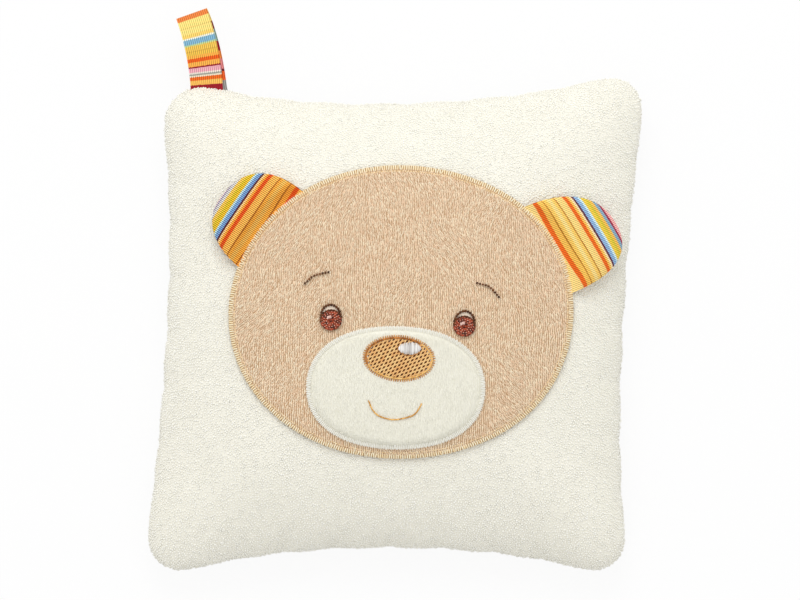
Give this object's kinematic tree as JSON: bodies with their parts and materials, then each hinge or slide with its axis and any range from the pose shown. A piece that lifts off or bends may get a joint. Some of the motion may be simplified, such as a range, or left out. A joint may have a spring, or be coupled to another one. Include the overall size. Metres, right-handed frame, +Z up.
{
  "type": "cherry stone pillow",
  "caption": "Small square plush pillow with an appliqued bear face, padded ears, a ribbon loop and a back flap, round a bag of cherry stones for warming.",
  "frame": {"origin": "on the flat back that the pillow rests on, below the middle of the cover", "axes": "+Z up, out of the front with the face; +Y towards the edge that holds the ribbon loop; +X to the right as the face is seen"},
  "size_m": [0.1998, 0.2283, 0.0493],
  "materials": {
    "cream_plush": "cream terry plush with a short looped pile",
    "beige_plush": "beige short-pile plush",
    "muzzle_plush": "cream short-pile plush",
    "striped_cotton": "ribbed cotton with woven stripes in orange, yellow and blue",
    "striped_ribbon": "ribbed ribbon with woven cross stripes",
    "white_cotton": "plain woven cotton",
    "wadding": "white polyester wadding",
    "gold_thread": "pale gold embroidery thread with a soft sheen",
    "cream_thread": "cream embroidery thread",
    "tan_thread": "golden tan embroidery thread",
    "brown_thread": "red-brown embroidery thread",
    "dark_thread": "dark brown embroidery thread",
    "pale_thread": "pale grey embroidery thread",
    "orange_thread": "orange-tan embroidery thread",
    "hook_nylon": "woven nylon tape with moulded hooks",
    "loop_nylon": "brushed nylon loop tape",
    "cherry_stone": "dry cherry stones, matt, pale brown"
  },
  "bodies": {
    "cover": {"front_panel": "cream_plush", "back_panel_upper": "cream_plush", "back_panel_lower": "cream_plush", "cover_seam_thread": "cream_thread", "loop_tape": "loop_nylon", "face_patch": "beige_plush", "face_border": "gold_thread", "muzzle_patch": "muzzle_plush", "muzzle_border": "cream_thread", "nose": "tan_thread", "nose_border": "brown_thread", "nose_glint": "pale_thread", "left_eye": "brown_thread", "left_eye_outline": "dark_thread", "left_eye_glint": "pale_thread", "right_eye": "brown_thread", "right_eye_outline": "dark_thread", "right_eye_glint": "pale_thread", "left_brow": "dark_thread", "right_brow": "dark_thread", "mouth": "orange_thread", "inner_bag_front": "white_cotton", "inner_bag_back": "white_cotton", "inner_bag_seam_thread": "cream_thread", "cherry_stones": "cherry_stone"},
    "closure_flap": {"closure_flap": "cream_plush", "hook_tape": "hook_nylon"},
    "left_ear": {"left_ear_front": "striped_cotton", "left_ear_wadding": "wadding", "left_ear_back": "striped_cotton"},
    "right_ear": {"right_ear_front": "striped_cotton", "right_ear_wadding": "wadding", "right_ear_back": "striped_cotton"},
    "hanging_loop": {"hanging_loop": "striped_ribbon"}
  },
  "joints": [
    {"name": "left_ear_fold", "type": "hinge", "parent": "cover", "child": "left_ear", "pos_m": [-0.04891, 0.03703, 0.04107], "axis": [0.6767, 0.7348, 0.0467], "range_deg": [0, 145]},
    {"name": "right_ear_fold", "type": "hinge", "parent": "cover", "child": "right_ear", "pos_m": [0.06158, 0.02967, 0.03902], "axis": [0.5184, -0.8488, -0.104], "range_deg": [0, 145]},
    {"name": "hanging_loop_swing", "type": "hinge", "parent": "cover", "child": "hanging_loop", "pos_m": [-0.07527, 0.09595, 0.015], "axis": [0.9949, -0.1004, 0], "range_deg": [-75, 75], "stiffness_Nm_per_rad": 0.001},
    {"name": "closure_flap_open", "type": "hinge", "parent": "cover", "child": "closure_flap", "pos_m": [0, -0.006, 0], "axis": [1, 0, 0], "range_deg": [0, 150]}
  ]
}
